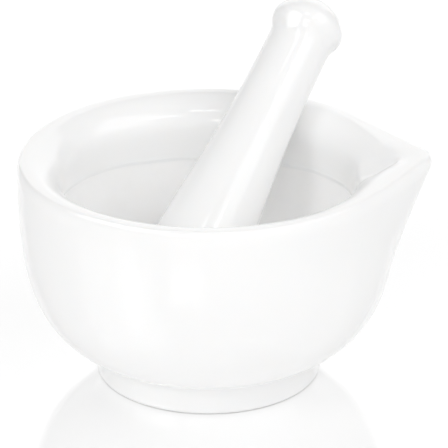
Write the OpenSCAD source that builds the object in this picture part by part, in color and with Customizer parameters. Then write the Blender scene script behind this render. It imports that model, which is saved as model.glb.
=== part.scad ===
// Porcelain mortar and pestle: a thick-walled bowl on a foot ring with a pouring lip, and a loose pestle
// that leans in it. Millimetres, +Z up. The origin is the centre of the foot's flat underside, and the
// pouring lip points along +X.

/* [Mortar] */
// Outer diameter at the widest part of the bowl
rim_d = 100; // [98:0.5:104]
// Height from the table to the crest of the rim
mortar_h = 60.4; // [58:0.2:64]
// Diameter of the foot where it stands
foot_d = 59.6; // [54:0.2:62]
// Diameter of the round grinding bowl
bowl_d = 78; // [75:0.5:80]
// Height of the lowest point of the bowl's floor
bowl_floor_z = 11; // [9:0.5:13]
// Height at which the glaze stops and the bare grinding surface begins
glaze_edge_z = 43.6; // [40:0.2:46]
// Thickness of the glaze that stands proud of the bare surface
glaze = 0.25; // [0.15:0.05:0.4]

/* [Pouring lip] */
// Distance from the bowl's axis to the tip of the lip
lip_reach = 58.2; // [56:0.2:58.6]
// Radius of the lip's nose
lip_nose_r = 4; // [3:0.25:5]

/* [Pestle] */
// Length from the tip of the grinding head to the top of the knob
pestle_l = 102; // [98:0.5:108]
// Diameter of the knob
knob_d = 20; // [19:0.25:21]
// Diameter of the neck under the knob
neck_d = 17.1; // [16:0.1:17.5]
// Diameter of the grinding head
head_d = 25.7; // [24.5:0.1:27]
// Radius of the ball at the end of the grinding head
head_end_r = 16; // [15:0.25:17]

/* [Resting place of the pestle] */
// Lean of the pestle from upright, in degrees
lean = 49; // [48:0.5:50]
// Compass direction that the pestle leans towards, in degrees from the lip
lean_dir = 58; // [40:1:75]
// Angle at the bowl's centre between straight down and the head's contact
seat_angle = 18; // [16:0.5:18]
// Compass direction of the head's contact, in degrees from the lip
seat_dir = -147; // [-150:1:-140]
// Gap left between the head and the bowl
seat_gap = 0.2; // [0.15:0.05:0.5]

/* [Hidden] */
$fn = 96;
porcelain = [0.95, 0.95, 0.94];
overlap = 1;

// Outside of the bowl: a superellipse that is upright near the rim and curls in to the foot
rim_r = rim_d / 2;
curl_power = 3.7;
curl_top_z = mortar_h + 4.2;
curl_h = curl_top_z - 5.4;
curl_steps = 30;
curl_crowding = 1.6;
function bowl_r(z) = rim_r * pow(1 - pow((curl_top_z - z) / curl_h, curl_power), 1 / curl_power);
function bowl_z(r) = curl_top_z - curl_h * pow(1 - pow(r / rim_r, curl_power), 1 / curl_power);

// Foot ring, with a hollow under it and a fillet where it meets the bowl
foot_r = foot_d / 2;
foot_draft = 0.2;
foot_edge_r = 1;
foot_ring_w = 7;
hollow_depth = 2.5;
foot_side_r = foot_r - foot_draft;
blend_w = 1.8;
join_r = foot_side_r + blend_w;
join_z = bowl_z(join_r);
join_slope = atan2(bowl_z(join_r + 0.01) - join_z, 0.01);
fillet_r = blend_w / (1 - sin(join_slope));
fillet_c = [join_r + fillet_r * sin(join_slope), join_z - fillet_r * cos(join_slope)];
// Heights up the outside, closer together where it curls
function curl_z(part) = join_z + (rim_round_z - join_z) * pow(part, curl_crowding);

// Rim: a quick round outside the crest and a long fall inside it
crest_r = rim_r - 2.1;
crest_w = 0.5;
crest_power = 2;
mouth_r = crest_r - crest_w;
rim_round_z = mortar_h - 4.4;
rim_round_w = bowl_r(rim_round_z) - crest_r;
bowl_r_in = bowl_d / 2;
bowl_c_z = bowl_floor_z + bowl_r_in;
wall_r = bowl_r_in - glaze;
fall_z = mortar_h - 7.4;
fall_power = 1.7;
rim_steps = 14;
glaze_edge_angle = asin((glaze_edge_z - bowl_c_z) / bowl_r_in);
mouth_clear = 20;

// Lip: a cone that spreads from its nose back into the wall, trimmed level with the crest
lip_nose = [lip_reach - lip_nose_r, 0, mortar_h - 4.1];
lip_root_r = rim_r - 2.5;
lip_root = [0, 0, mortar_h - 12.4];

// Groove: a wide cone that falls from the lip's nose to the inner wall
groove_nose = [lip_reach - 9, 0, mortar_h + 1.6];
groove_nose_r = 2.75;
groove_root_r = 20;
groove_half_angle = 46;
groove_rise = 19;
groove_l = (groove_root_r - groove_nose_r) / sin(groove_half_angle);
groove_root = groove_nose + groove_l * [-cos(groove_rise), 0, sin(groove_rise)];

// Pestle, measured along its own axis from the tip of the head
knob_r = knob_d / 2;
neck_r = neck_d / 2;
knob_side_r = 5;
knob_side_c = [knob_r - knob_side_r, pestle_l - 8];
knob_drop = pestle_l - knob_side_c.y;
knob_cap_r = (pow(knob_drop, 2) - pow(knob_side_r, 2) + pow(knob_side_c.x, 2))
    / (2 * (knob_drop - knob_side_r));
knob_cap_z = pestle_l - knob_cap_r;
knob_split = atan2(knob_side_c.y - knob_cap_z, knob_side_c.x);
neck_z = pestle_l - 14;
neck_rise = knob_side_c.y - neck_z;
neck_gap = neck_r - knob_side_c.x;
neck_hollow_r = (pow(neck_gap, 2) + pow(neck_rise, 2) - pow(knob_side_r, 2))
    / (2 * (knob_side_r - neck_gap));
neck_turn = atan2(neck_rise, neck_gap + neck_hollow_r);
head_r = head_d / 2;
head_side_r = 9;
head_side_x = head_r - head_side_r;
head_side_c = [head_side_x, head_end_r - sqrt(pow(head_end_r - head_side_r, 2) - pow(head_side_x, 2))];
head_split = atan2(head_side_c.y - head_end_r, head_side_c.x);
flank_z = pestle_l - 62;
flank_slope = 2 * atan((head_r - neck_r) / (neck_z - head_side_c.y));
flank_hollow_r = (neck_z - flank_z) / sin(flank_slope);
flank_swell_r = (flank_z - head_side_c.y) / sin(flank_slope);

// Where the centre of the head's end ball rests
seat_reach = bowl_r_in - head_end_r - seat_gap;
seat = [
    seat_reach * sin(seat_angle) * cos(seat_dir),
    seat_reach * sin(seat_angle) * sin(seat_dir),
    bowl_c_z - seat_reach * cos(seat_angle)
];

// Points along a circular arc
function arc(c, r, from, to, steps = 10) = [
    for (i = [0:steps]) let (a = from + (to - from) * i / steps) c + r * [cos(a), sin(a)]
];

// Points along a quarter of a superellipse, from beside c + [w, 0] up to c + [0, h]
function round_over(c, w, h, power, first) = [
    for (i = [first:rim_steps])
        let (a = 90 * i / rim_steps)
        c + [w * pow(cos(a), 2 / power), h * pow(sin(a), 2 / power)]
];

// Bar that tapers between two balls and is tangent to both all round
module tapered_bar(small_c, small_r, big_c, big_r) {
    reach = norm(big_c - small_c);
    along = (big_c - small_c) / reach;
    spread = asin((big_r - small_r) / reach);
    flank = [cos(spread), -sin(spread)];
    translate(small_c)
        rotate([0, acos(along.z), atan2(along.y, along.x)])
            rotate_extrude()
                intersection() {
                    union() {
                        circle(r = small_r);
                        translate([0, reach]) circle(r = big_r);
                        polygon([[0, 0], small_r * flank, [0, reach] + big_r * flank, [0, reach]]);
                    }
                    translate([0, -small_r]) square([big_r, small_r + reach + big_r]);
                }
}

// Solid turned outside of the mortar
module turned_body() {
    outline = concat(
        [[0, 0]],
        arc([foot_r - foot_edge_r, foot_edge_r], foot_edge_r, -90, 0, 6),
        arc(fillet_c, fillet_r, 180, 90 + join_slope, 8),
        [for (i = [1:curl_steps]) let (z = curl_z(i / curl_steps)) [bowl_r(z), z]],
        round_over([crest_r, rim_round_z], rim_round_w, mortar_h - rim_round_z, crest_power, 1),
        [[0, mortar_h]]
    );
    rotate_extrude() polygon(outline);
}

// Space inside the bowl, up through the mouth
module bowl_space() {
    outline = concat(
        arc([0, bowl_c_z], bowl_r_in, -90, glaze_edge_angle, 36),
        arc([0, bowl_c_z], wall_r, glaze_edge_angle, 0, 6),
        round_over([mouth_r, fall_z], wall_r - mouth_r, mortar_h - fall_z, fall_power, 0),
        [[mouth_r, mortar_h + mouth_clear], [0, mortar_h + mouth_clear]]
    );
    rotate_extrude() polygon(outline);
}

// Hollow under the foot, which leaves a ring to stand on
module foot_hollow() {
    hollow_r = foot_r - foot_ring_w;
    translate([0, 0, -overlap])
        cylinder(h = hollow_depth + overlap, r1 = hollow_r + overlap / 2, r2 = hollow_r - hollow_depth / 2);
}

// Pouring lip before the bowl and the groove are cut
module lip_blank() {
    intersection() {
        tapered_bar(lip_nose, lip_nose_r, lip_root, lip_root_r);
        translate([0, -rim_r, 0]) cube([rim_d, rim_d, mortar_h]);
    }
}

// Mortar: one fired piece of porcelain
module mortar() {
    color(porcelain)
        difference() {
            union() {
                turned_body();
                lip_blank();
            }
            bowl_space();
            tapered_bar(groove_nose, groove_nose_r, groove_root, groove_root_r);
            foot_hollow();
        }
}

// Pestle: one fired piece, turned about its own axis, standing on the tip of its head
module turned_pestle() {
    outline = concat(
        arc([0, head_end_r], head_end_r, -90, head_split, 8),
        arc(head_side_c, head_side_r, head_split, 0, 8),
        arc([head_r - flank_swell_r, head_side_c.y], flank_swell_r, 0, flank_slope, 8),
        arc([neck_r + flank_hollow_r, neck_z], flank_hollow_r, 180 + flank_slope, 180, 8),
        arc([neck_r + neck_hollow_r, neck_z], neck_hollow_r, 180, 180 - neck_turn, 6),
        arc(knob_side_c, knob_side_r, -neck_turn, knob_split, 10),
        arc([0, knob_cap_z], knob_cap_r, knob_split, 90, 8)
    );
    rotate_extrude() polygon(outline);
}

// The pestle where it rests: its head on the bowl's floor and its handle leaning on the rim
module pestle() {
    color(porcelain)
        translate(seat)
            rotate([0, lean, lean_dir])
                translate([0, 0, -head_end_r])
                    turned_pestle();
}

mortar();
pestle();
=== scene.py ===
"""Looks of a porcelain mortar and pestle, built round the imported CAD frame.

The two pieces are worked out in millimetres in the row frame and scaled to metres once, when a mesh is made.
Materials, floor, lamps and camera are in metres. Compass directions are turned from +X towards +Y.
"""

import bpy
import numpy as np
from mathutils import Matrix, Vector


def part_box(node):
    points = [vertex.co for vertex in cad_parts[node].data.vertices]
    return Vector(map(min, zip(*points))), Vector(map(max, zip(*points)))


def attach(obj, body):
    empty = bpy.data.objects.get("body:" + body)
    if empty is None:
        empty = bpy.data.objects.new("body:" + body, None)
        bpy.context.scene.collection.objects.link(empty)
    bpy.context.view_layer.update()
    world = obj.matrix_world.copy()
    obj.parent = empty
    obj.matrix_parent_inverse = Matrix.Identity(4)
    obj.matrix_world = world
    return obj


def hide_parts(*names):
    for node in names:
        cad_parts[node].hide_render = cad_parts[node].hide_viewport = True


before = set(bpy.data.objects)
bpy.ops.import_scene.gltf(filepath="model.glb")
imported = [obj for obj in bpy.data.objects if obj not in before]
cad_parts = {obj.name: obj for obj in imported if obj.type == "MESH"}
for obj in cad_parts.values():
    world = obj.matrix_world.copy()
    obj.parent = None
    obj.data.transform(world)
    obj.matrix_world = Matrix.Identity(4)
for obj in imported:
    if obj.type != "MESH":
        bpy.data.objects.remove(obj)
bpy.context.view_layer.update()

MM = 0.001
TAU = 2 * np.pi

# ---------------------------------------------------------------- sizes, in mm
# From the frame: the lip points along +X, so -X gives the round bowl's own radius
mortar_low, mortar_high = (np.array(corner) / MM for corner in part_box("mortar"))
RIM_R = -mortar_low[0]
HEIGHT = mortar_high[2]
LIP_REACH = mortar_high[0]

# Foot
FOOT_R = 29.8
FOOT_SIDE_R = 29.6
FOOT_EDGE_R = 1.0
FOOT_FLAT_GAP = 0.2
FOOT_RING_W = 7.0
FOOT_BLEND_W = 2.5
SLOPE_STEP = 0.01

# Hollow under the foot, and how the glaze gives way to the bare ring at its edge
HOLLOW_R = FOOT_R - FOOT_RING_W
HOLLOW_DEPTH = 2.5
HOLLOW_EDGE_R = 0.7
RING_EDGE_GAP = 0.3
HOLLOW_LEAN = 20
HOLLOW_CORNER_R = HOLLOW_R - HOLLOW_DEPTH / 2 - HOLLOW_EDGE_R
RING_FADE = 0.4
RING_TOP_Z = 0.25
RING_TOP_FADE = 0.35

# Outside of the bowl: a superellipse, upright near the rim
CURL_POWER = 3.7
CURL_TOP_Z = HEIGHT + 4.2
CURL_H = CURL_TOP_Z - 5.4

# Rim: a quick round outside, then a slow fall inwards that is eased onto the wall
CREST_R = RIM_R - 1.4
CREST_W = 1.2
RIM_ROUND_Z = HEIGHT - 3.8
FALL_Z = HEIGHT - 7.4
FALL_POWER = 1.7
FALL_EASE = 1.8
FALL_EASE_FROM = 1.0
FALL_EASE_FADE = 4.0
FALL_STEP = 0.1
WALL_EASED_Z = HEIGHT - 12.4
WALL_EASED_FADE = 2.5

# Inside of the bowl
BOWL_R = 39.0
BOWL_C_Z = 50.0
GLAZE = 0.25
WALL_R = BOWL_R - GLAZE

# Lip: it grows out of the wall above LIP_START_Z, rises to its tip and slopes inwards
LIP_START_Z = 30.0
LIP_FULL_Z = HEIGHT - 2.4
LIP_OUT = 8.45
LIP_GROWTH = 1.6
LIP_NOSE_R = 7.5
LIP_ROOT_R = 30.0
LIP_ROOT_FADE = 1.3
LIP_INSET = 1.5
LIP_SOFTNESS = np.radians(1.3)
LIP_RISE = 1.3
LIP_RISE_Z = 42.0
LIP_FALL = 2.2
LIP_FALL_POWER = 1.3
LIP_FALL_FADE = 7.0

# Groove: a round-nosed cone that falls from the lip to the inner wall
GROOVE_NOSE = np.array([LIP_REACH - 11.3, 0.0, HEIGHT + 1.0])
GROOVE_NOSE_R = 2.75
GROOVE_HALF_ANGLE = np.radians(46)
GROOVE_RISE = np.radians(19)
GROOVE_SOFTNESS = 1.3
GROOVE_LOW_Z = HEIGHT - 14.0
GROOVE_HIGH_Z = HEIGHT + 1.0
NO_GROOVE_Z = HEIGHT + 50.0
GROOVE_HALVINGS = 40

# Edge of the glaze inside the bowl: a ragged, rounded bead
GLAZE_EDGE_Z = 43.6
GLAZE_EDGE_SWING = 1.25
GLAZE_EDGE_GAP = 1.2
GLAZE_EDGE_WAVES = ((2, 0.22), (5, 0.12), (9, 0.1), (17, 0.05), (31, 0.03))
GLAZE_EDGE_SEED = 11
GLAZE_BEAD_W = 1.8
GLAZE_BEAD_H = 0.06

# Across the bead, from 0 on the glaze to 1 on the bare body: (centre, width) of a hump, or (start, width) of a step
BEAD_RIDGE = (0.12, 0.2)
BEAD_BARE = (0.55, 0.2)
# where the grey painted as shade along the glaze's edge lies across the bead
BEAD_SHADE_BAND = (0.85, 0.3)

# Pestle, along its own axis from the tip of its head
PESTLE_L = 102.0
KNOB_R = 10.0
KNOB_SIDE_R = 5.0
KNOB_SIDE_Z = PESTLE_L - 8.0
NECK_R = 8.55
NECK_Z = PESTLE_L - 14.0
FLANK_Z = PESTLE_L - 62.0
HEAD_R = 12.85
HEAD_SIDE_R = 9.0
HEAD_END_R = 16.0
PESTLE_BARE_Z = 9.0
PESTLE_BARE_FADE = 0.8
PESTLE_BARE_WAVES = ((1, 0.3), (3, 0.18), (7, 0.1))
PESTLE_BARE_SEED = 5
PESTLE_GLAZE = 0.1

# Where the pestle rests
LEAN = np.radians(49)
LEAN_DIR = np.radians(58)
SEAT_ANGLE = np.radians(18)
SEAT_DIR = np.radians(-147)
SEAT_GAP = 0.2

# How far a fired wall is from round
WOBBLE = 0.07
WOBBLE_WAVES = (2, 3, 5, 8)
WOBBLE_TILT = (0.02, 0.08)
WOBBLE_FOOT_FADE = 8.0
WOBBLE_TIP_FADE = 6.0
MORTAR_SEED = 4
PESTLE_SEED = 9

# How far the glaze pools, which is below 0 where it runs thin and, on the crest, is painted darker as shade on the
# rim's top; and how used the bare body is, with grey also painted along the glaze's edge as shade
CORNER_POOL_W = 1.5
BLEND_POOL = 0.3
BLEND_POOL_FADE = 3.0
CREST_THIN_AND_SHADE = -0.9
CREST_THIN_AND_SHADE_ROWS = 6
GROOVE_POOL = 0.5
GROOVE_POOL_DEPTH = 1.5
WALL_POOL = 0.8
BEAD_POOL = 0.7
# grey painted along the glaze's edge, as shade
BEAD_PAINTED_SHADE = 0.6
BOWL_USED = 0.35
BOWL_FLOOR_USED = 0.5
BOWL_FLOOR_ANGLE = 0.5
PESTLE_POOL = 0.5
PESTLE_POOL_W = 3.0
KNOB_THIN_Z = KNOB_SIDE_Z + 3.0

# Mesh
SAME_POINT = 1e-4
MORTAR_SECTORS = 384
LIP_CROWDING = 0.55
PESTLE_SECTORS = 160
POLE_R = 0.05
WALL_ROWS = 60
WALL_ROW_POWER = 1.5
ROUND_ROWS = 16
FALL_ROWS = 53
GLAZED_ROWS = 8
BEAD_ROWS = 10
BARE_ROWS = 46
SOFT_RING = 1440
SOFT_STEPS = 12

# ---------------------------------------------------------------- colours and finish
GLAZE_SHADES = ((0.90, 0.902, 0.898, 1), (0.915, 0.915, 0.912, 1))
POOLED_SHADE = (0.865, 0.885, 0.89, 1)
# the thin colour is also darker than the glaze, so on the rim's crest it is painted shade
THIN_GLAZE_AND_SHADE = (0.865, 0.86, 0.852, 1)
SPECK_SHADE = (0.45, 0.41, 0.36, 1)
BODY_SHADES = ((0.935, 0.93, 0.922, 1), (0.95, 0.945, 0.937, 1))
# grey of wear on the bare body, also painted along the glaze's edge as shade
GREY_WEAR_AND_SHADE = (0.74, 0.74, 0.73, 1)
SHADE_SHARE = 0.5
SPECK_SHARE = 0.35
GREY_WEAR_AND_SHADE_SHARE = 0.15
GLAZE_ROUGHNESS = (0.085, 0.13)
BODY_ROUGHNESS = (0.5, 0.72)
GLAZE_IOR = 1.52
GLOW_SHARE = 0.3
GLOW_DEPTH = 0.003
GLOW_TINT = (1.0, 0.9, 0.8)
PEEL_STRENGTH = 0.35
PEEL_DEPTH = 0.00003
TOOTH_STRENGTH = 0.6
TOOTH_DEPTH = 0.00006

# Sizes of the patterns, as cells in a metre, and where each one sets in and is full
CLOUD_SCALE = 28.0
CLOUDS_IN_GLAZE = (0.3, 0.7)
CLOUDS_IN_WEAR_AND_SHADE = (0.35, 0.7)
CLOUDS_IN_PEEL = 1.6
MOTTLE_SCALE = 210.0
MOTTLE_IN_GLOSS = (0.3, 0.7)
MOTTLE_IN_BODY = (0.35, 0.65)
MOTTLE_IN_PEEL = 0.25
GRAIN_SCALE = 2600.0
POOLED_RANGE = (0.0, 1.2)
THIN_AND_SHADE_RANGE = (0.2, 1.0)
SPECK_SCALE = 95.0
SPECK_EDGE = (0.012, 0.03)
SPECK_PATCH_SCALE = 41.0
SPECK_PATCH_RANGE = (0.60, 0.64)

# ---------------------------------------------------------------- stage, in metres
FLOOR_HALF = 6.0
FLOOR_SHADES = ((0.70, 0.70, 0.70, 1), (0.72, 0.72, 0.72, 1))
FLOOR_CLOUD_SCALE = 9.0
FLOOR_ROUGHNESS = (0.05, 0.08)
FLOOR_HAZE_SCALE = 60.0
FLOOR_IOR = 2.3
FLOOR_GLOW = 0.215
# the floor's glow fades in just outside the foot's edge, leaving a painted contact shadow round it
CONTACT_SHADOW_EDGE = (FOOT_R * MM - 0.0006, FOOT_R * MM + 0.0002)

# Name, compass direction, elevation, distance, width, height, brightness, and whether it shows only in reflections
LAMPS = (
    ("key", -132, 36, 1.2, 0.44, 0.6, 4.4, False),
    ("window", -151, 38, 1.15, 0.8, 0.75, 4.0, True),
    ("spot", -101, 26, 1.2, 0.36, 0.18, 6.0, False),
    ("strip", -50, 48, 1.2, 0.5, 0.05, 11.0, False),
    ("fill", -74, 22, 1.6, 2.2, 0.8, 0.74, False),
    ("side", -12, 42, 1.4, 1.2, 0.9, 1.8, False),
    ("backdrop", 90, 20, 1.8, 2.4, 1.2, 1.3, True),
    ("skylight", -84, 66, 1.2, 0.3, 0.12, 5.0, True),
)
LAMP_AIM = Vector((0, 0, 0.04))
ROOM_BRIGHTNESS = 0.42

# Camera: it stands on a sphere round a point of the bowl's axis, and aims a little to the lip's side
CAMERA_DISTANCE = 0.8
CAMERA_ELEVATION = np.radians(24.37)
CAMERA_TURN = np.radians(2.0)
CAMERA_CENTRE = Vector((0, 0, 0.03))
AIM_ASIDE = 0.00413
AIM_Z = 0.0411
LENS_MM = 242.84
SENSOR_MM = 36.0
GAMMA = 1.5


# ---------------------------------------------------------------- outlines
def arc(centre, radius, start, end, steps):
    """Points along a circular arc, angles in degrees."""
    a = np.radians(np.linspace(start, end, steps + 1))
    return np.column_stack([centre[0] + radius * np.cos(a), centre[1] + radius * np.sin(a)])


def line(start, end, steps):
    """Evenly spaced points on a straight line, ends included."""
    return np.linspace(start, end, steps + 1)


def joined(*runs):
    """One outline from several runs, without doubled points."""
    points = np.vstack(runs)
    step = np.linalg.norm(np.diff(points, axis=0), axis=1)
    return points[np.concatenate([[True], step > SAME_POINT])]


def bowl_r(z):
    """Radius of the plain bowl's outside at height z."""
    drop = np.clip((CURL_TOP_Z - z) / CURL_H, 0, 1)
    return RIM_R * (1 - drop**CURL_POWER) ** (1 / CURL_POWER)


def bowl_z(r):
    """Height at which the plain bowl's outside has radius r."""
    return CURL_TOP_Z - CURL_H * (1 - (r / RIM_R) ** CURL_POWER) ** (1 / CURL_POWER)


def smooth(t):
    """0 to 1 with level ends."""
    t = np.clip(t, 0, 1)
    return t * t * (3 - 2 * t)


def hump(t, centre, width):
    """A bell curve, 1 high at its centre."""
    return np.exp(-(((t - centre) / width) ** 2))


def soft_min(a, b, softness):
    """The lower of two heights, with a rounded corner where they cross."""
    h = np.clip(softness - np.abs(a - b), 0, None) / softness
    return np.minimum(a, b) - h * h * softness / 4


def ragged(theta, waves, seed):
    """A wavy ring from pairs of (waves round the ring, their height), each turned by a random angle."""
    rng = np.random.default_rng(seed)
    return sum(np.cos(count * theta + rng.uniform(0, TAU)) * height for count, height in waves)


def wobble(theta, z, seed):
    """The few hundredths of a millimetre by which a fired wall isn't quite round."""
    rng = np.random.default_rng(seed)
    total = np.zeros(np.broadcast(theta, z).shape)
    for waves in WOBBLE_WAVES:
        phase, tilt = rng.uniform(0, TAU), rng.uniform(*WOBBLE_TILT)
        total = total + np.cos(waves * theta + phase + tilt * z) / waves
    return WOBBLE * total


# ---------------------------------------------------------------- lip, fall and groove
def lip_growth(z):
    """How far the lip has grown at height z: 0 at its root, 1 just under the rim."""
    return np.clip((z - LIP_START_Z) / (LIP_FULL_Z - LIP_START_Z), 0, None) ** LIP_GROWTH


def lip_outline(theta, wall, z):
    """(radius at compass angle theta, share of the lip in it) of a round wall drawn out to a nose."""
    out = LIP_OUT * lip_growth(z)
    fade = np.clip(1 - (z - LIP_START_Z) / (LIP_FULL_Z - LIP_START_Z), 0, 1) ** LIP_ROOT_FADE
    nose = LIP_NOSE_R + (LIP_ROOT_R - LIP_NOSE_R) * fade
    centre = wall + out - nose
    turn = np.arccos(np.clip((wall - nose) / centre, -1, 1))
    nose_end = np.arctan2(nose * np.sin(turn), centre + nose * np.cos(turn))
    a = np.abs((theta + np.pi) % TAU - np.pi)
    on_nose = centre * np.cos(a) + np.sqrt(np.clip(nose**2 - (centre * np.sin(a)) ** 2, 0, None))
    on_flank = wall / np.cos(np.clip(turn - a, 0, None))
    r = np.where(a <= nose_end, on_nose, on_flank)
    return r, (r - wall) / LIP_OUT


def softened(values, theta):
    """A closed ring of values, averaged over a small angle so that the lip's tangent points don't show."""
    even = np.linspace(-np.pi, np.pi, SOFT_RING, endpoint=False)
    order = np.argsort(theta)
    ring = np.interp(even, theta[order], values[order], period=TAU)
    turns = np.arange(-SOFT_STEPS, SOFT_STEPS + 1) * TAU / SOFT_RING
    weights = np.exp(-0.5 * (turns / LIP_SOFTNESS) ** 2)
    total = sum(w * np.interp(theta + turn, even, ring, period=TAU) for w, turn in zip(weights, turns))
    return total / weights.sum()


def lip_rise(share, theta, z):
    """How much higher a ring's points stand where the lip is, from the share of the lip in each."""
    return LIP_RISE * softened(share, theta) * smooth((z - LIP_RISE_Z) / (HEIGHT - LIP_RISE_Z))


def fall_profile():
    """(radius, height) of the round bowl from beyond the crest down the fall and onto the wall, eased between."""
    mouth = CREST_R - CREST_W
    top_w = 2 * LIP_OUT
    a = np.linspace(0, np.pi / 2, 200)
    fall = np.column_stack([
        mouth - (mouth - WALL_R) * np.sin(a) ** (2 / FALL_POWER),
        FALL_Z + (HEIGHT - FALL_Z) * np.cos(a) ** (2 / FALL_POWER),
    ])
    sharp = joined(
        line([mouth + top_w, HEIGHT], [mouth, HEIGHT], 100),
        fall,
        line([WALL_R, FALL_Z], [WALL_R, BOWL_C_Z], 20),
        arc([0, BOWL_C_Z], WALL_R, 0, -15, 60),
    )
    along = np.concatenate([[0], np.cumsum(np.linalg.norm(np.diff(sharp, axis=0), axis=1))])
    even = np.arange(0, along[-1], FALL_STEP)
    plain = np.column_stack([np.interp(even, along, sharp[:, i]) for i in (0, 1)])
    reach = np.arange(-3 * FALL_EASE, 3 * FALL_EASE + FALL_STEP, FALL_STEP)
    weight = np.exp(-0.5 * (reach / FALL_EASE) ** 2)
    eased = np.column_stack([np.convolve(plain[:, i], weight / weight.sum(), "same") for i in (0, 1)])
    started = smooth((even - top_w - FALL_EASE_FROM) / FALL_EASE_FADE)
    share = started * smooth((plain[:, 1] - WALL_EASED_Z) / WALL_EASED_FADE)
    profile = plain + (eased - plain) * share[:, None]
    return profile[profile[:, 1] > WALL_EASED_Z]


def groove_height(x, y):
    """Height of the groove's floor over each point, or far above where there is no groove."""
    along = np.array([-np.cos(GROOVE_RISE), 0, np.sin(GROOVE_RISE)])
    low, high = np.full(x.shape, GROOVE_LOW_Z), np.full(x.shape, GROOVE_HIGH_Z)

    def outside(z):
        """Distance to the round-nosed cone, below zero inside it."""
        p = np.stack([x, y, z], -1) - GROOVE_NOSE
        t = p @ along
        side = np.linalg.norm(p - t[..., None] * along, axis=-1)
        back = t + side * np.tan(GROOVE_HALF_ANGLE)
        cone = side * np.cos(GROOVE_HALF_ANGLE) - t * np.sin(GROOVE_HALF_ANGLE) - GROOVE_NOSE_R
        ball = np.linalg.norm(p, axis=-1) - GROOVE_NOSE_R
        return np.where(back < 0, ball, cone)

    reached = outside(high) < 0
    for _ in range(GROOVE_HALVINGS):
        middle = (low + high) / 2
        inside = outside(middle) < 0
        high = np.where(inside, middle, high)
        low = np.where(inside, low, middle)
    return np.where(reached & (x > BOWL_R / 2), high, NO_GROOVE_Z)


# ---------------------------------------------------------------- meshes
def revolved_mesh(name, rings, marks):
    """A closed mesh from rings of points: rings[i, j] is point j of ring i, and the first and last rings are poles.

    marks is {attribute name: value for each ring's points}.
    """
    count, sectors = rings.shape[:2]
    bottom, top = rings[0].mean(0), rings[-1].mean(0)
    points = np.vstack([bottom, rings[1:-1].reshape(-1, 3), top]) * MM
    first = np.arange(1, 1 + (count - 2) * sectors).reshape(count - 2, sectors)
    following = np.roll(first, -1, axis=1)
    faces = []
    for i in range(count - 3):
        faces += zip(first[i], following[i], following[i + 1], first[i + 1])
    last = len(points) - 1
    faces += zip([0] * sectors, following[0], first[0])
    faces += zip([last] * sectors, first[-1], following[-1])
    mesh = bpy.data.meshes.new(name)
    mesh.from_pydata(points.tolist(), [], [[int(v) for v in f] for f in faces])
    mesh.polygons.foreach_set("use_smooth", np.ones(len(mesh.polygons), bool))
    for label, values in marks.items():
        flat = np.concatenate([[values[0].mean()], values[1:-1].ravel(), [values[-1].mean()]])
        mesh.attributes.new(label, "FLOAT", "POINT").data.foreach_set("value", flat.astype(np.float32))
    mesh.update()
    piece = bpy.data.objects.new(name, mesh)
    bpy.context.scene.collection.objects.link(piece)
    return piece


class Rings:
    """The mortar's rings of points, closer together round the lip, and how bare, pooled and used each point is,
    with painted shade carried on the crest and along the glaze's edge.
    """

    def __init__(self):
        even = np.linspace(-np.pi, np.pi, MORTAR_SECTORS, endpoint=False)
        self.theta = even - LIP_CROWDING * np.sin(even)
        self.x, self.y = np.cos(self.theta), np.sin(self.theta)
        self.points = []
        self.marks = {"bare": [], "pool": [], "used": []}

    def add(self, r, z, **given):
        """One more ring. Each value is a number, or a row with one for each compass angle."""
        r, z = (np.broadcast_to(value, self.theta.shape) for value in (r, z))
        self.points.append(np.stack([r * self.x, r * self.y, z], -1))
        for label, values in self.marks.items():
            values.append(np.broadcast_to(given.get(label, 0.0), self.theta.shape).astype(float))


def add_underside(rings):
    """The glazed hollow under the foot, the bare ring it stands on, and the foot's rounded edge."""
    edge_c = [FOOT_R - FOOT_EDGE_R, FOOT_EDGE_R]
    under = joined(
        line([POLE_R, HOLLOW_DEPTH], [HOLLOW_CORNER_R, HOLLOW_DEPTH], 14),
        arc([HOLLOW_CORNER_R, HOLLOW_DEPTH - HOLLOW_EDGE_R], HOLLOW_EDGE_R, 90, HOLLOW_LEAN, 5),
        arc([HOLLOW_R + RING_EDGE_GAP, HOLLOW_EDGE_R], HOLLOW_EDGE_R, 180 + HOLLOW_LEAN, 270, 6),
        line([HOLLOW_R + 2 * RING_EDGE_GAP, 0], [edge_c[0] - FOOT_FLAT_GAP, 0], 6),
        arc(edge_c, FOOT_EDGE_R, -90, 0, 8),
    )
    for r, z in under:
        on_ring = smooth((r - HOLLOW_R + RING_FADE) / RING_FADE) * (1 - smooth((z - RING_TOP_Z) / RING_TOP_FADE))
        rings.add(r, z, bare=on_ring, pool=hump(r, HOLLOW_CORNER_R, CORNER_POOL_W), used=on_ring)


def add_wall(rings):
    """The foot's side, its blend into the bowl, and the wall up to the rim."""
    theta = rings.theta
    join_r = FOOT_SIDE_R + FOOT_BLEND_W
    join_z = bowl_z(join_r)
    slope = np.arctan2(bowl_z(join_r + SLOPE_STEP) - join_z, SLOPE_STEP)
    fillet_r = FOOT_BLEND_W / (1 - np.sin(slope))
    fillet_c = [join_r + fillet_r * np.sin(slope), join_z - fillet_r * np.cos(slope)]
    for r, z in line([FOOT_R, FOOT_EDGE_R], [FOOT_SIDE_R, fillet_c[1]], 8)[1:-1]:
        rings.add(r, z)
    for r, z in arc(fillet_c, fillet_r, 180, 90 + np.degrees(slope), 10):
        rings.add(r, z, pool=BLEND_POOL)
    for part in np.linspace(0, 1, WALL_ROWS + 1)[1:]:
        z = join_z + (RIM_ROUND_Z - join_z) * part**WALL_ROW_POWER
        wall, share = lip_outline(theta, bowl_r(z), z)
        r = softened(wall, theta) + wobble(theta, z, MORTAR_SEED) * smooth((z - join_z) / WOBBLE_FOOT_FADE)
        pool = BLEND_POOL * np.exp(-(z - join_z) / BLEND_POOL_FADE)
        rings.add(r, z + lip_rise(share, theta, z), pool=pool)


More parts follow.
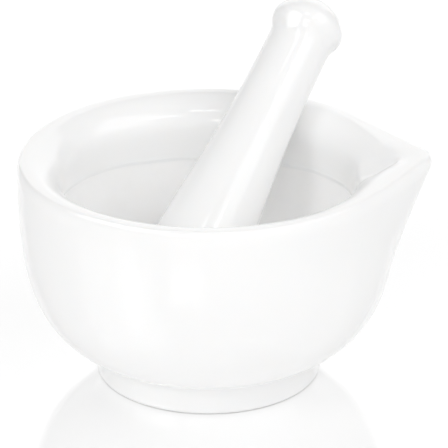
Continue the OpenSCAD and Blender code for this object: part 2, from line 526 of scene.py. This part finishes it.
def add_rim_round(rings):
    """The quick round outside the crest. Gives each point's radius on the crest, and how far the lip lifts it."""
    theta = rings.theta
    for a in np.linspace(0, np.pi / 2, ROUND_ROWS + 1)[1:]:
        z = RIM_ROUND_Z + (HEIGHT - RIM_ROUND_Z) * np.sin(a)
        wall, share = lip_outline(theta, bowl_r(z), z)
        inset = (bowl_r(z) - CREST_R + LIP_INSET * share) * (1 - np.cos(a))
        r = softened(wall - inset, theta) + wobble(theta, z, MORTAR_SEED)
        # the crest's thin glaze takes the darker thin colour: painted shade on the rim's top
        rings.add(r, z + lip_rise(share, theta, z), pool=CREST_THIN_AND_SHADE * np.sin(a) ** 2)
    wall, share = lip_outline(theta, bowl_r(HEIGHT), HEIGHT)
    crest = softened(wall - (bowl_r(HEIGHT) - CREST_R + LIP_INSET * share), theta)
    return crest, lip_rise(share, theta, HEIGHT)


def add_fall(rings, crest, crest_rise):
    """From the crest down the fall and onto the inner wall, with the groove pressed in. Gives the last height."""
    profile = fall_profile()
    order = np.argsort(profile[:, 0])
    from_mouth = profile[profile[:, 0] <= CREST_R]
    rows = from_mouth[np.linspace(0, len(from_mouth) - 1, FALL_ROWS + 1).astype(int)]
    for k, (round_r, _) in enumerate(rows[1:]):
        stretch = max(round_r - WALL_R, 0) / (CREST_R - WALL_R)
        r = round_r + (crest - CREST_R) * stretch
        inward = np.clip((crest - CREST_W - r) / LIP_OUT, 0, None) ** LIP_FALL_POWER
        on_lip = smooth((crest - CREST_R) / LIP_OUT) * smooth((r - WALL_R) / LIP_FALL_FADE)
        lifted = crest_rise * smooth((r - WALL_R) / (crest - WALL_R))
        plain = np.interp(r, profile[order, 0], profile[order, 1]) - LIP_FALL * inward * on_lip + lifted
        z = soft_min(plain, groove_height(r * rings.x, r * rings.y), GROOVE_SOFTNESS)
        cut = smooth((plain - z) / GROOVE_POOL_DEPTH)
        # just past the crest the glaze runs thin as well, painted darker as shade; in the groove it pools
        rings.add(r, z, pool=GROOVE_POOL * cut + CREST_THIN_AND_SHADE * hump(k, 0, CREST_THIN_AND_SHADE_ROWS) * (1 - cut))
    return rows[-1][1]


def add_bowl(rings, start_z):
    """The glazed wall, the bead where the glaze stops, and the bare bowl."""
    theta = rings.theta
    edge = np.arcsin((GLAZE_EDGE_Z - BOWL_C_Z) / BOWL_R)
    swing = GLAZE_EDGE_SWING * (1 + np.cos(2 * theta))
    edge = edge + (ragged(theta, GLAZE_EDGE_WAVES, GLAZE_EDGE_SEED) + swing) / BOWL_R
    start = np.arcsin((start_z - BOWL_C_Z) / WALL_R)
    for t in np.linspace(0, 1, GLAZED_ROWS + 1)[1:]:
        phi = start + (edge + GLAZE_EDGE_GAP / BOWL_R - start) * t
        rings.add(WALL_R * np.cos(phi), BOWL_C_Z + WALL_R * np.sin(phi), pool=WALL_POOL * t**3)
    bead = GLAZE_BEAD_W / BOWL_R
    for t in np.linspace(0, 1, BEAD_ROWS + 1):
        phi = edge + bead / 2 - bead * t
        r = WALL_R + GLAZE * smooth(t) - GLAZE_BEAD_H * hump(t, *BEAD_RIDGE)
        bare = smooth((t - BEAD_BARE[0]) / BEAD_BARE[1])
        # the grey on the bead is painted shade along the glaze's edge
        used = BEAD_PAINTED_SHADE * hump(t, *BEAD_SHADE_BAND)
        rings.add(r * np.cos(phi), BOWL_C_Z + r * np.sin(phi), bare=bare, pool=BEAD_POOL, used=used)
    for t in np.linspace(0, 1, BARE_ROWS + 1)[1:]:
        phi = (edge - bead / 2) * (1 - t) - np.pi / 2 * t
        used = BOWL_USED + BOWL_FLOOR_USED * smooth(-phi - BOWL_FLOOR_ANGLE)
        rings.add(BOWL_R * np.cos(phi), BOWL_C_Z + BOWL_R * np.sin(phi), bare=1.0, used=used)


def make_mortar():
    rings = Rings()
    add_underside(rings)
    add_wall(rings)
    crest, crest_rise = add_rim_round(rings)
    start_z = add_fall(rings, crest, crest_rise)
    add_bowl(rings, start_z)
    marks = {label: np.array(values) for label, values in rings.marks.items()}
    return revolved_mesh("mortar_porcelain", np.array(rings.points), marks)


def pestle_outline():
    """(radius, height) from the tip of the head to the top of the knob."""
    knob_c = np.array([KNOB_R - KNOB_SIDE_R, KNOB_SIDE_Z])
    drop = PESTLE_L - KNOB_SIDE_Z
    cap_r = (drop**2 - KNOB_SIDE_R**2 + knob_c[0] ** 2) / (2 * (drop - KNOB_SIDE_R))
    cap_z = PESTLE_L - cap_r
    split = np.degrees(np.arctan2(knob_c[1] - cap_z, knob_c[0]))
    rise = KNOB_SIDE_Z - NECK_Z
    gap = NECK_R - knob_c[0]
    hollow_r = (gap**2 + rise**2 - KNOB_SIDE_R**2) / (2 * (KNOB_SIDE_R - gap))
    turn = np.degrees(np.arctan2(rise, gap + hollow_r))
    side_x = HEAD_R - HEAD_SIDE_R
    head_c = np.array([side_x, HEAD_END_R - np.sqrt((HEAD_END_R - HEAD_SIDE_R) ** 2 - side_x**2)])
    head_split = np.degrees(np.arctan2(head_c[1] - HEAD_END_R, side_x))
    flank = 2 * np.arctan((HEAD_R - NECK_R) / (NECK_Z - head_c[1]))
    flank_hollow = (NECK_Z - FLANK_Z) / np.sin(flank)
    flank_swell = (FLANK_Z - head_c[1]) / np.sin(flank)
    tilt = np.degrees(flank)
    return joined(
        arc([0, HEAD_END_R], HEAD_END_R, -90, head_split, 16),
        arc(head_c, HEAD_SIDE_R, head_split, 0, 14),
        arc([HEAD_R - flank_swell, head_c[1]], flank_swell, 0, tilt, 16),
        arc([NECK_R + flank_hollow, NECK_Z], flank_hollow, 180 + tilt, 180, 22),
        arc([NECK_R + hollow_r, NECK_Z], hollow_r, 180, 180 - turn, 10),
        arc(knob_c, KNOB_SIDE_R, -turn, split, 20),
        arc([0, cap_z], cap_r, split, 90, 14),
    )


def make_pestle():
    theta = np.linspace(0, TAU, PESTLE_SECTORS, endpoint=False)
    outline = pestle_outline()
    r, z = outline[:, 0][:, None], outline[:, 1][:, None]
    edge = PESTLE_BARE_Z + ragged(theta, PESTLE_BARE_WAVES, PESTLE_BARE_SEED)
    bare = 1 - smooth((z - edge + PESTLE_BARE_FADE / 2) / PESTLE_BARE_FADE)
    skin = wobble(theta[None, :], z, PESTLE_SEED) * smooth(r / WOBBLE_TIP_FADE) * (1 - bare) - PESTLE_GLAZE * bare
    r = np.clip(r + skin, 0, None)
    rings = np.stack([r * np.cos(theta), r * np.sin(theta), np.broadcast_to(z - HEAD_END_R, r.shape)], -1)
    pool = PESTLE_POOL * (hump(z, NECK_Z, PESTLE_POOL_W) - hump(z, KNOB_THIN_Z, PESTLE_POOL_W))
    pool = np.broadcast_to(pool, r.shape)
    piece = revolved_mesh("pestle_porcelain", rings, {"bare": bare, "pool": pool, "used": bare})
    reach = BOWL_R - HEAD_END_R - SEAT_GAP
    seat = Vector((
        reach * np.sin(SEAT_ANGLE) * np.cos(SEAT_DIR),
        reach * np.sin(SEAT_ANGLE) * np.sin(SEAT_DIR),
        BOWL_C_Z - reach * np.cos(SEAT_ANGLE),
    ))
    turn = Matrix.Rotation(LEAN_DIR, 4, "Z") @ Matrix.Rotation(LEAN, 4, "Y")
    piece.data.transform(Matrix.Translation(seat * MM) @ turn)
    return piece


# ---------------------------------------------------------------- porcelain
class Nodes:
    """Short calls for building a material's node tree."""

    def __init__(self, name):
        self.material = bpy.data.materials.new(name)
        self.material.use_nodes = True
        self.tree = self.material.node_tree
        self.shader = self.tree.nodes["Principled BSDF"]

    def add(self, kind, **settings):
        node = self.tree.nodes.new("ShaderNode" + kind)
        for key, value in settings.items():
            setattr(node, key, value)
        return node

    def wire(self, target, value):
        if isinstance(value, bpy.types.NodeSocket):
            self.tree.links.new(value, target)
        else:
            target.default_value = value

    def math(self, operation, *values):
        node = self.add("Math", operation=operation)
        for socket, value in zip(node.inputs, values):
            self.wire(socket, value)
        return node.outputs[0]

    def mix(self, factor, a, b, kind="RGBA"):
        node = self.add("Mix", data_type=kind)
        self.wire(node.inputs["Factor"], factor)
        self.wire(node.inputs["A"], a)
        self.wire(node.inputs["B"], b)
        return node.outputs["Result"]

    def blend(self, factor, a, b):
        return self.mix(factor, a, b, "FLOAT")

    def noise(self, place, scale, detail=2.0, roughness=0.5):
        node = self.add("TexNoise")
        self.wire(node.inputs["Vector"], place)
        node.inputs["Scale"].default_value = scale
        node.inputs["Detail"].default_value = detail
        node.inputs["Roughness"].default_value = roughness
        return node.outputs["Fac"]

    def ramp(self, value, low, high):
        node = self.add("MapRange", interpolation_type="SMOOTHSTEP")
        self.wire(node.inputs["Value"], value)
        node.inputs["From Min"].default_value = low
        node.inputs["From Max"].default_value = high
        return node.outputs["Result"]

    def attribute(self, name):
        return self.add("Attribute", attribute_name=name).outputs["Fac"]


def porcelain():
    """White glaze over white body, with the bare, rougher body showing where the piece grinds."""
    n = Nodes("glazed_porcelain_fine")
    shader = n.shader.inputs
    place = n.add("TexCoord").outputs["Object"]
    bare, pool, used = n.attribute("bare"), n.attribute("pool"), n.attribute("used")
    clouds = n.noise(place, CLOUD_SCALE, 3.0)
    mottle = n.noise(place, MOTTLE_SCALE, 2.0)
    grain = n.noise(place, GRAIN_SCALE, 3.0, 0.7)

    # glaze: softly clouded, cooler where it pools, duller and warmer where it is thin over an edge; the duller thin
    # colour on the rim's crest is painted shade
    pooled = n.math("MULTIPLY", n.ramp(pool, *POOLED_RANGE), SHADE_SHARE)
    thin_and_shade = n.math("MULTIPLY", n.ramp(n.math("MULTIPLY", pool, -1.0), *THIN_AND_SHADE_RANGE), SHADE_SHARE)
    glaze = n.mix(n.ramp(clouds, *CLOUDS_IN_GLAZE), *GLAZE_SHADES)
    glaze = n.mix(pooled, glaze, POOLED_SHADE)
    glaze = n.mix(thin_and_shade, glaze, THIN_GLAZE_AND_SHADE)

    # a few faint specks in the glaze
    cells = n.add("TexVoronoi", feature="F1")
    n.wire(cells.inputs["Vector"], place)
    cells.inputs["Scale"].default_value = SPECK_SCALE
    speck = n.math("SUBTRACT", 1.0, n.ramp(cells.outputs["Distance"], *SPECK_EDGE))
    patches = n.ramp(n.noise(place, SPECK_PATCH_SCALE, 1.0), *SPECK_PATCH_RANGE)
    speck = n.math("MULTIPLY", n.math("MULTIPLY", speck, patches), SPECK_SHARE)
    glaze = n.mix(speck, glaze, SPECK_SHADE)

    # bare body: warmer and duller, with grey rubbed in where it is used, and grey painted along the glaze's edge as
    # shade
    body = n.mix(n.ramp(mottle, *MOTTLE_IN_BODY), *BODY_SHADES)
    grey_wear_and_shade = n.math("MULTIPLY", used, n.ramp(clouds, *CLOUDS_IN_WEAR_AND_SHADE))
    grey_wear_and_shade = n.math("MULTIPLY", grey_wear_and_shade, GREY_WEAR_AND_SHADE_SHARE)
    body = n.mix(grey_wear_and_shade, body, GREY_WEAR_AND_SHADE)

    n.wire(shader["Base Color"], n.mix(bare, glaze, body))
    gloss = n.blend(n.ramp(mottle, *MOTTLE_IN_GLOSS), *GLAZE_ROUGHNESS)
    dull = n.blend(grain, *BODY_ROUGHNESS)
    n.wire(shader["Roughness"], n.blend(bare, gloss, dull))
    shader["IOR"].default_value = GLAZE_IOR
    shader["Subsurface Weight"].default_value = GLOW_SHARE
    shader["Subsurface Radius"].default_value = GLOW_TINT
    shader["Subsurface Scale"].default_value = GLOW_DEPTH

    # the glaze's faint orange peel, and the fine tooth of the bare body
    peel = n.add("Bump")
    peel.inputs["Strength"].default_value = PEEL_STRENGTH
    peel.inputs["Distance"].default_value = PEEL_DEPTH
    waves = n.math("MULTIPLY", clouds, CLOUDS_IN_PEEL)
    n.wire(peel.inputs["Height"], n.math("ADD", waves, n.math("MULTIPLY", mottle, MOTTLE_IN_PEEL)))
    tooth = n.add("Bump")
    tooth.inputs["Distance"].default_value = TOOTH_DEPTH
    n.wire(tooth.inputs["Strength"], n.math("MULTIPLY", bare, TOOTH_STRENGTH))
    n.wire(tooth.inputs["Height"], grain)
    n.wire(tooth.inputs["Normal"], peel.outputs["Normal"])
    n.wire(shader["Normal"], tooth.outputs["Normal"])
    return n.material


# ---------------------------------------------------------------- stage
def pale_floor():
    """A sheet of white acrylic, lit evenly from beneath so that it stays white; the glow stops under the foot and
    fades in just outside its edge, a painted contact shadow.
    """
    h = FLOOR_HALF
    mesh = bpy.data.meshes.new("floor")
    mesh.from_pydata([(-h, -h, 0), (h, -h, 0), (h, h, 0), (-h, h, 0)], [], [(0, 1, 2, 3)])
    floor = bpy.data.objects.new("floor", mesh)
    bpy.context.scene.collection.objects.link(floor)
    n = Nodes("floor_acrylic")
    shader = n.shader.inputs
    place = n.add("TexCoord").outputs["Object"]
    n.wire(shader["Base Color"], n.mix(n.noise(place, FLOOR_CLOUD_SCALE), *FLOOR_SHADES))
    n.wire(shader["Roughness"], n.blend(n.noise(place, FLOOR_HAZE_SCALE), *FLOOR_ROUGHNESS))
    shader["IOR"].default_value = FLOOR_IOR
    shader["Emission Color"].default_value = (1, 1, 1, 1)
    reach = n.add("VectorMath", operation="LENGTH")
    n.wire(reach.inputs[0], place)
    # no glow under the foot and a hair beyond it: a painted contact shadow
    glow_outside_contact_shadow = n.ramp(reach.outputs["Value"], *CONTACT_SHADOW_EDGE)
    n.wire(shader["Emission Strength"], n.math("MULTIPLY", glow_outside_contact_shadow, FLOOR_GLOW))
    mesh.materials.append(n.material)


def softbox(name, azimuth, elevation, distance, width, height, brightness, gloss_only):
    """A rectangular lamp that faces the bowl from a compass direction, angles in degrees."""
    azimuth, elevation = np.radians([azimuth, elevation])
    away = Vector((np.cos(elevation) * np.cos(azimuth), np.cos(elevation) * np.sin(azimuth), np.sin(elevation)))
    data = bpy.data.lights.new(name, "AREA")
    data.shape = "RECTANGLE"
    data.size, data.size_y = width, height
    data.energy = brightness * np.pi * width * height
    lamp = bpy.data.objects.new(name, data)
    turn = (-away).to_track_quat("-Z", "Y").to_matrix().to_4x4()
    lamp.matrix_world = Matrix.Translation(LAMP_AIM + away * distance) @ turn
    lamp.visible_diffuse = not gloss_only
    bpy.context.scene.collection.objects.link(lamp)


def studio():
    world = bpy.data.worlds.new("studio")
    world.use_nodes = True
    background = world.node_tree.nodes["Background"]
    background.inputs["Color"].default_value = (1, 1, 1, 1)
    background.inputs["Strength"].default_value = ROOM_BRIGHTNESS
    bpy.context.scene.world = world
    for lamp in LAMPS:
        softbox(*lamp)


def photographer():
    """A long lens at the height and distance of a product shot, turned a little off the lip."""
    ahead = np.cos(CAMERA_ELEVATION)
    away = Vector((ahead * np.sin(CAMERA_TURN), -ahead * np.cos(CAMERA_TURN), np.sin(CAMERA_ELEVATION)))
    place = CAMERA_CENTRE + CAMERA_DISTANCE * away
    aim = Vector((AIM_ASIDE * np.cos(CAMERA_TURN), AIM_ASIDE * np.sin(CAMERA_TURN), AIM_Z))
    data = bpy.data.cameras.new("camera")
    data.lens = LENS_MM
    data.sensor_width = SENSOR_MM
    camera = bpy.data.objects.new("camera", data)
    turn = (aim - place).to_track_quat("-Z", "Y").to_matrix().to_4x4()
    camera.matrix_world = Matrix.Translation(place) @ turn
    bpy.context.scene.collection.objects.link(camera)
    bpy.context.scene.camera = camera


# ---------------------------------------------------------------- the scene
finish = porcelain()
for maker, node in ((make_mortar, "mortar"), (make_pestle, "pestle")):
    piece = maker()
    piece.data.materials.append(finish)
    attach(piece, node)
    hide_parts(node)

pale_floor()
studio()
photographer()
bpy.context.scene.view_settings.view_transform = "Standard"
bpy.context.scene.view_settings.gamma = GAMMA
